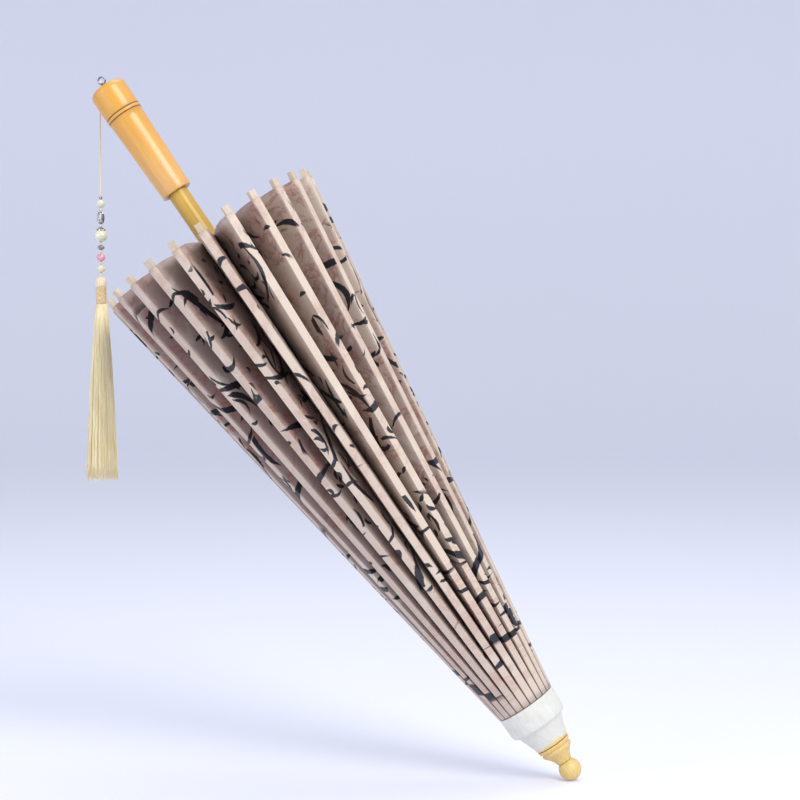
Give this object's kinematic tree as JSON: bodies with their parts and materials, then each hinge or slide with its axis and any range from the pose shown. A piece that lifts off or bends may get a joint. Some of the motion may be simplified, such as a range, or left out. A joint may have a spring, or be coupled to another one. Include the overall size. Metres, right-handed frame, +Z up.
{
  "type": "oil paper umbrella",
  "caption": "Nearly closed oil paper umbrella with folding bamboo ribs and stretchers, a sliding runner, a turned grip, a capped head with a ball finial, and a beaded tassel.",
  "frame": {"origin": "on the shaft's axis at the middle of the grip", "axes": "+Z up; the shaft leans 34.5 degrees in the XZ plane, with the grip up towards -X and the head down towards +X"},
  "size_m": [0.4837, 0.2312, 0.6725],
  "materials": {
    "shaft_bamboo": "satin lacquer",
    "grip_lacquer": "gloss lacquer",
    "steel": "polished",
    "cap_white": "matte cloth, lacquered",
    "finial_wood": "satin lacquer",
    "hub_wood": "satin",
    "rib_bamboo": "satin",
    "stretcher_bamboo": "satin",
    "oiled_paper": "satin oiled",
    "silk_cord": "soft sheen",
    "jade_bead": "polished",
    "silk_tassel": "silk sheen"
  },
  "bodies": {
    "shaft": {"shaft": "shaft_bamboo", "grip": "grip_lacquer", "screw_eye": "steel", "head_cap": "cap_white", "finial": "finial_wood", "top_hub": "hub_wood", "paper_canopy": "oiled_paper"},
    "rib_01": {"rib_01": "rib_bamboo"},
    "rib_02": {"rib_02": "rib_bamboo"},
    "rib_03": {"rib_03": "rib_bamboo"},
    "rib_04": {"rib_04": "rib_bamboo"},
    "rib_05": {"rib_05": "rib_bamboo"},
    "rib_06": {"rib_06": "rib_bamboo"},
    "rib_07": {"rib_07": "rib_bamboo"},
    "rib_08": {"rib_08": "rib_bamboo"},
    "rib_09": {"rib_09": "rib_bamboo"},
    "rib_10": {"rib_10": "rib_bamboo"},
    "rib_11": {"rib_11": "rib_bamboo"},
    "rib_12": {"rib_12": "rib_bamboo"},
    "rib_13": {"rib_13": "rib_bamboo"},
    "rib_14": {"rib_14": "rib_bamboo"},
    "rib_15": {"rib_15": "rib_bamboo"},
    "rib_16": {"rib_16": "rib_bamboo"},
    "rib_17": {"rib_17": "rib_bamboo"},
    "rib_18": {"rib_18": "rib_bamboo"},
    "rib_19": {"rib_19": "rib_bamboo"},
    "rib_20": {"rib_20": "rib_bamboo"},
    "rib_21": {"rib_21": "rib_bamboo"},
    "rib_22": {"rib_22": "rib_bamboo"},
    "rib_23": {"rib_23": "rib_bamboo"},
    "rib_24": {"rib_24": "rib_bamboo"},
    "stretcher_01": {"stretcher_01": "stretcher_bamboo"},
    "stretcher_02": {"stretcher_02": "stretcher_bamboo"},
    "stretcher_03": {"stretcher_03": "stretcher_bamboo"},
    "stretcher_04": {"stretcher_04": "stretcher_bamboo"},
    "stretcher_05": {"stretcher_05": "stretcher_bamboo"},
    "stretcher_06": {"stretcher_06": "stretcher_bamboo"},
    "stretcher_07": {"stretcher_07": "stretcher_bamboo"},
    "stretcher_08": {"stretcher_08": "stretcher_bamboo"},
    "stretcher_09": {"stretcher_09": "stretcher_bamboo"},
    "stretcher_10": {"stretcher_10": "stretcher_bamboo"},
    "stretcher_11": {"stretcher_11": "stretcher_bamboo"},
    "stretcher_12": {"stretcher_12": "stretcher_bamboo"},
    "stretcher_13": {"stretcher_13": "stretcher_bamboo"},
    "stretcher_14": {"stretcher_14": "stretcher_bamboo"},
    "stretcher_15": {"stretcher_15": "stretcher_bamboo"},
    "stretcher_16": {"stretcher_16": "stretcher_bamboo"},
    "stretcher_17": {"stretcher_17": "stretcher_bamboo"},
    "stretcher_18": {"stretcher_18": "stretcher_bamboo"},
    "stretcher_19": {"stretcher_19": "stretcher_bamboo"},
    "stretcher_20": {"stretcher_20": "stretcher_bamboo"},
    "stretcher_21": {"stretcher_21": "stretcher_bamboo"},
    "stretcher_22": {"stretcher_22": "stretcher_bamboo"},
    "stretcher_23": {"stretcher_23": "stretcher_bamboo"},
    "stretcher_24": {"stretcher_24": "stretcher_bamboo"},
    "runner": {"runner": "hub_wood"},
    "spring_latch": {"spring_latch": "stretcher_bamboo"},
    "tassel": {"tassel_cord": "silk_cord", "tassel_beads": "jade_bead", "tassel": "silk_tassel"}
  },
  "joints": [
    {"name": "open_close", "type": "hinge", "parent": "shaft", "child": "rib_01", "pos_m": [0.38224, 0.00261, -0.52115], "axis": [-0.1076, 0.9914, -0.0739], "range_deg": [-7, 66], "deforming": ["paper_canopy"]},
    {"name": "rib_02_fold", "type": "hinge", "parent": "shaft", "child": "rib_02", "pos_m": [0.38113, 0.00765, -0.52192], "axis": [-0.3154, 0.9239, -0.2168], "range_deg": [-7, 66]},
    {"name": "rib_03_fold", "type": "hinge", "parent": "shaft", "child": "rib_03", "pos_m": [0.37898, 0.01218, -0.5234], "axis": [-0.5017, 0.7934, -0.3448], "range_deg": [-7, 66]},
    {"name": "rib_04_fold", "type": "hinge", "parent": "shaft", "child": "rib_04", "pos_m": [0.37593, 0.01587, -0.52549], "axis": [-0.6538, 0.6088, -0.4494], "range_deg": [-7, 66]},
    {"name": "rib_05_fold", "type": "hinge", "parent": "shaft", "child": "rib_05", "pos_m": [0.37221, 0.01848, -0.52805], "axis": [-0.7614, 0.3827, -0.5233], "range_deg": [-7, 66]},
    {"name": "rib_06_fold", "type": "hinge", "parent": "shaft", "child": "rib_06", "pos_m": [0.36805, 0.01983, -0.53091], "axis": [-0.8171, 0.1305, -0.5616], "range_deg": [-7, 66]},
    {"name": "rib_07_fold", "type": "hinge", "parent": "shaft", "child": "rib_07", "pos_m": [0.36375, 0.01983, -0.53386], "axis": [-0.8171, -0.1305, -0.5616], "range_deg": [-7, 66]},
    {"name": "rib_08_fold", "type": "hinge", "parent": "shaft", "child": "rib_08", "pos_m": [0.35959, 0.01848, -0.53672], "axis": [-0.7614, -0.3827, -0.5233], "range_deg": [-7, 66]},
    {"name": "rib_09_fold", "type": "hinge", "parent": "shaft", "child": "rib_09", "pos_m": [0.35586, 0.01587, -0.53928], "axis": [-0.6538, -0.6088, -0.4494], "range_deg": [-7, 66]},
    {"name": "rib_10_fold", "type": "hinge", "parent": "shaft", "child": "rib_10", "pos_m": [0.35282, 0.01218, -0.54137], "axis": [-0.5017, -0.7934, -0.3448], "range_deg": [-7, 66]},
    {"name": "rib_11_fold", "type": "hinge", "parent": "shaft", "child": "rib_11", "pos_m": [0.35067, 0.00765, -0.54285], "axis": [-0.3154, -0.9239, -0.2168], "range_deg": [-7, 66]},
    {"name": "rib_12_fold", "type": "hinge", "parent": "shaft", "child": "rib_12", "pos_m": [0.34956, 0.00261, -0.54362], "axis": [-0.1076, -0.9914, -0.0739], "range_deg": [-7, 66]},
    {"name": "rib_13_fold", "type": "hinge", "parent": "shaft", "child": "rib_13", "pos_m": [0.34956, -0.00261, -0.54362], "axis": [0.1076, -0.9914, 0.0739], "range_deg": [-7, 66]},
    {"name": "rib_14_fold", "type": "hinge", "parent": "shaft", "child": "rib_14", "pos_m": [0.35067, -0.00765, -0.54285], "axis": [0.3154, -0.9239, 0.2168], "range_deg": [-7, 66]},
    {"name": "rib_15_fold", "type": "hinge", "parent": "shaft", "child": "rib_15", "pos_m": [0.35282, -0.01218, -0.54137], "axis": [0.5017, -0.7934, 0.3448], "range_deg": [-7, 66]},
    {"name": "rib_16_fold", "type": "hinge", "parent": "shaft", "child": "rib_16", "pos_m": [0.35586, -0.01587, -0.53928], "axis": [0.6538, -0.6088, 0.4494], "range_deg": [-7, 66]},
    {"name": "rib_17_fold", "type": "hinge", "parent": "shaft", "child": "rib_17", "pos_m": [0.35959, -0.01848, -0.53672], "axis": [0.7614, -0.3827, 0.5233], "range_deg": [-7, 66]},
    {"name": "rib_18_fold", "type": "hinge", "parent": "shaft", "child": "rib_18", "pos_m": [0.36375, -0.01983, -0.53386], "axis": [0.8171, -0.1305, 0.5616], "range_deg": [-7, 66]},
    {"name": "rib_19_fold", "type": "hinge", "parent": "shaft", "child": "rib_19", "pos_m": [0.36805, -0.01983, -0.53091], "axis": [0.8171, 0.1305, 0.5616], "range_deg": [-7, 66]},
    {"name": "rib_20_fold", "type": "hinge", "parent": "shaft", "child": "rib_20", "pos_m": [0.37221, -0.01848, -0.52805], "axis": [0.7614, 0.3827, 0.5233], "range_deg": [-7, 66]},
    {"name": "rib_21_fold", "type": "hinge", "parent": "shaft", "child": "rib_21", "pos_m": [0.37593, -0.01587, -0.52549], "axis": [0.6538, 0.6088, 0.4494], "range_deg": [-7, 66]},
    {"name": "rib_22_fold", "type": "hinge", "parent": "shaft", "child": "rib_22", "pos_m": [0.37898, -0.01218, -0.5234], "axis": [0.5017, 0.7934, 0.3448], "range_deg": [-7, 66]},
    {"name": "rib_23_fold", "type": "hinge", "parent": "shaft", "child": "rib_23", "pos_m": [0.38113, -0.00765, -0.52192], "axis": [0.3154, 0.9239, 0.2168], "range_deg": [-7, 66]},
    {"name": "rib_24_fold", "type": "hinge", "parent": "shaft", "child": "rib_24", "pos_m": [0.38224, -0.00261, -0.52115], "axis": [0.1076, 0.9914, 0.0739], "range_deg": [-7, 66]},
    {"name": "stretcher_01_fold", "type": "hinge", "parent": "rib_01", "child": "stretcher_01", "pos_m": [0.28524, 0.00804, -0.30718], "axis": [-0.1076, 0.9914, -0.0739], "range_deg": [-132, 14]},
    {"name": "stretcher_02_fold", "type": "hinge", "parent": "rib_02", "child": "stretcher_02", "pos_m": [0.28181, 0.02358, -0.30953], "axis": [-0.3154, 0.9239, -0.2168], "range_deg": [-132, 14]},
    {"name": "stretcher_03_fold", "type": "hinge", "parent": "rib_03", "child": "stretcher_03", "pos_m": [0.27518, 0.03751, -0.31409], "axis": [-0.5017, 0.7934, -0.3448], "range_deg": [-132, 14]},
    {"name": "stretcher_04_fold", "type": "hinge", "parent": "rib_04", "child": "stretcher_04", "pos_m": [0.26581, 0.04888, -0.32053], "axis": [-0.6538, 0.6088, -0.4494], "range_deg": [-132, 14]},
    {"name": "stretcher_05_fold", "type": "hinge", "parent": "rib_05", "child": "stretcher_05", "pos_m": [0.25433, 0.05693, -0.32842], "axis": [-0.7614, 0.3827, -0.5233], "range_deg": [-132, 14]},
    {"name": "stretcher_06_fold", "type": "hinge", "parent": "rib_06", "child": "stretcher_06", "pos_m": [0.24152, 0.06109, -0.33722], "axis": [-0.8171, 0.1305, -0.5616], "range_deg": [-132, 14]},
    {"name": "stretcher_07_fold", "type": "hinge", "parent": "rib_07", "child": "stretcher_07", "pos_m": [0.22827, 0.06109, -0.34633], "axis": [-0.8171, -0.1305, -0.5616], "range_deg": [-132, 14]},
    {"name": "stretcher_08_fold", "type": "hinge", "parent": "rib_08", "child": "stretcher_08", "pos_m": [0.21546, 0.05693, -0.35513], "axis": [-0.7614, -0.3827, -0.5233], "range_deg": [-132, 14]},
    {"name": "stretcher_09_fold", "type": "hinge", "parent": "rib_09", "child": "stretcher_09", "pos_m": [0.20398, 0.04888, -0.36302], "axis": [-0.6538, -0.6088, -0.4494], "range_deg": [-132, 14]},
    {"name": "stretcher_10_fold", "type": "hinge", "parent": "rib_10", "child": "stretcher_10", "pos_m": [0.19461, 0.03751, -0.36946], "axis": [-0.5017, -0.7934, -0.3448], "range_deg": [-132, 14]},
    {"name": "stretcher_11_fold", "type": "hinge", "parent": "rib_11", "child": "stretcher_11", "pos_m": [0.18798, 0.02358, -0.37402], "axis": [-0.3154, -0.9239, -0.2168], "range_deg": [-132, 14]},
    {"name": "stretcher_12_fold", "type": "hinge", "parent": "rib_12", "child": "stretcher_12", "pos_m": [0.18455, 0.00804, -0.37638], "axis": [-0.1076, -0.9914, -0.0739], "range_deg": [-132, 14]},
    {"name": "stretcher_13_fold", "type": "hinge", "parent": "rib_13", "child": "stretcher_13", "pos_m": [0.18455, -0.00804, -0.37638], "axis": [0.1076, -0.9914, 0.0739], "range_deg": [-132, 14]},
    {"name": "stretcher_14_fold", "type": "hinge", "parent": "rib_14", "child": "stretcher_14", "pos_m": [0.18798, -0.02358, -0.37402], "axis": [0.3154, -0.9239, 0.2168], "range_deg": [-132, 14]},
    {"name": "stretcher_15_fold", "type": "hinge", "parent": "rib_15", "child": "stretcher_15", "pos_m": [0.19461, -0.03751, -0.36946], "axis": [0.5017, -0.7934, 0.3448], "range_deg": [-132, 14]},
    {"name": "stretcher_16_fold", "type": "hinge", "parent": "rib_16", "child": "stretcher_16", "pos_m": [0.20398, -0.04888, -0.36302], "axis": [0.6538, -0.6088, 0.4494], "range_deg": [-132, 14]},
    {"name": "stretcher_17_fold", "type": "hinge", "parent": "rib_17", "child": "stretcher_17", "pos_m": [0.21546, -0.05693, -0.35513], "axis": [0.7614, -0.3827, 0.5233], "range_deg": [-132, 14]},
    {"name": "stretcher_18_fold", "type": "hinge", "parent": "rib_18", "child": "stretcher_18", "pos_m": [0.22827, -0.06109, -0.34633], "axis": [0.8171, -0.1305, 0.5616], "range_deg": [-132, 14]},
    {"name": "stretcher_19_fold", "type": "hinge", "parent": "rib_19", "child": "stretcher_19", "pos_m": [0.24152, -0.06109, -0.33722], "axis": [0.8171, 0.1305, 0.5616], "range_deg": [-132, 14]},
    {"name": "stretcher_20_fold", "type": "hinge", "parent": "rib_20", "child": "stretcher_20", "pos_m": [0.25433, -0.05693, -0.32842], "axis": [0.7614, 0.3827, 0.5233], "range_deg": [-132, 14]},
    {"name": "stretcher_21_fold", "type": "hinge", "parent": "rib_21", "child": "stretcher_21", "pos_m": [0.26581, -0.04888, -0.32053], "axis": [0.6538, 0.6088, 0.4494], "range_deg": [-132, 14]},
    {"name": "stretcher_22_fold", "type": "hinge", "parent": "rib_22", "child": "stretcher_22", "pos_m": [0.27518, -0.03751, -0.31409], "axis": [0.5017, 0.7934, 0.3448], "range_deg": [-132, 14]},
    {"name": "stretcher_23_fold", "type": "hinge", "parent": "rib_23", "child": "stretcher_23", "pos_m": [0.28181, -0.02358, -0.30953], "axis": [0.3154, 0.9239, 0.2168], "range_deg": [-132, 14]},
    {"name": "stretcher_24_fold", "type": "hinge", "parent": "rib_24", "child": "stretcher_24", "pos_m": [0.28524, -0.00804, -0.30718], "axis": [0.1076, 0.9914, 0.0739], "range_deg": [-132, 14]},
    {"name": "runner_travel", "type": "hinge", "parent": "stretcher_01", "child": "runner", "pos_m": [0.12024, 0.00261, -0.13994], "axis": [-0.1076, 0.9914, -0.0739], "range_deg": [-7, 66]},
    {"name": "latch_press", "type": "hinge", "parent": "shaft", "child": "spring_latch", "pos_m": [0.25825, 0.0028, -0.36719], "axis": [-0.4121, 0.866, -0.2832], "range_deg": [0, 6], "stiffness_Nm_per_rad": 0.6, "springref_deg": -2.86},
    {"name": "tassel_swing", "type": "hinge", "parent": "shaft", "child": "tassel", "pos_m": [-0.03908, 0, 0.05686], "axis": [0, 1, 0], "range_deg": [0, 45], "deforming": ["tassel_cord", "tassel_beads", "tassel"]}
  ],
  "couplings": [
    {"joint": "rib_02_fold", "follows": "open_close", "ratio": 1},
    {"joint": "rib_03_fold", "follows": "open_close", "ratio": 1},
    {"joint": "rib_04_fold", "follows": "open_close", "ratio": 1},
    {"joint": "rib_05_fold", "follows": "open_close", "ratio": 1},
    {"joint": "rib_06_fold", "follows": "open_close", "ratio": 1},
    {"joint": "rib_07_fold", "follows": "open_close", "ratio": 1},
    {"joint": "rib_08_fold", "follows": "open_close", "ratio": 1},
    {"joint": "rib_09_fold", "follows": "open_close", "ratio": 1},
    {"joint": "rib_10_fold", "follows": "open_close", "ratio": 1},
    {"joint": "rib_11_fold", "follows": "open_close", "ratio": 1},
    {"joint": "rib_12_fold", "follows": "open_close", "ratio": 1},
    {"joint": "rib_13_fold", "follows": "open_close", "ratio": 1},
    {"joint": "rib_14_fold", "follows": "open_close", "ratio": 1},
    {"joint": "rib_15_fold", "follows": "open_close", "ratio": 1},
    {"joint": "rib_16_fold", "follows": "open_close", "ratio": 1},
    {"joint": "rib_17_fold", "follows": "open_close", "ratio": 1},
    {"joint": "rib_18_fold", "follows": "open_close", "ratio": 1},
    {"joint": "rib_19_fold", "follows": "open_close", "ratio": 1},
    {"joint": "rib_20_fold", "follows": "open_close", "ratio": 1},
    {"joint": "rib_21_fold", "follows": "open_close", "ratio": 1},
    {"joint": "rib_22_fold", "follows": "open_close", "ratio": 1},
    {"joint": "rib_23_fold", "follows": "open_close", "ratio": 1},
    {"joint": "rib_24_fold", "follows": "open_close", "ratio": 1},
    {"joint": "stretcher_01_fold", "follows": "open_close", "ratio": -2},
    {"joint": "stretcher_02_fold", "follows": "open_close", "ratio": -2},
    {"joint": "stretcher_03_fold", "follows": "open_close", "ratio": -2},
    {"joint": "stretcher_04_fold", "follows": "open_close", "ratio": -2},
    {"joint": "stretcher_05_fold", "follows": "open_close", "ratio": -2},
    {"joint": "stretcher_06_fold", "follows": "open_close", "ratio": -2},
    {"joint": "stretcher_07_fold", "follows": "open_close", "ratio": -2},
    {"joint": "stretcher_08_fold", "follows": "open_close", "ratio": -2},
    {"joint": "stretcher_09_fold", "follows": "open_close", "ratio": -2},
    {"joint": "stretcher_10_fold", "follows": "open_close", "ratio": -2},
    {"joint": "stretcher_11_fold", "follows": "open_close", "ratio": -2},
    {"joint": "stretcher_12_fold", "follows": "open_close", "ratio": -2},
    {"joint": "stretcher_13_fold", "follows": "open_close", "ratio": -2},
    {"joint": "stretcher_14_fold", "follows": "open_close", "ratio": -2},
    {"joint": "stretcher_15_fold", "follows": "open_close", "ratio": -2},
    {"joint": "stretcher_16_fold", "follows": "open_close", "ratio": -2},
    {"joint": "stretcher_17_fold", "follows": "open_close", "ratio": -2},
    {"joint": "stretcher_18_fold", "follows": "open_close", "ratio": -2},
    {"joint": "stretcher_19_fold", "follows": "open_close", "ratio": -2},
    {"joint": "stretcher_20_fold", "follows": "open_close", "ratio": -2},
    {"joint": "stretcher_21_fold", "follows": "open_close", "ratio": -2},
    {"joint": "stretcher_22_fold", "follows": "open_close", "ratio": -2},
    {"joint": "stretcher_23_fold", "follows": "open_close", "ratio": -2},
    {"joint": "stretcher_24_fold", "follows": "open_close", "ratio": -2},
    {"joint": "runner_travel", "follows": "open_close", "ratio": 1}
  ]
}
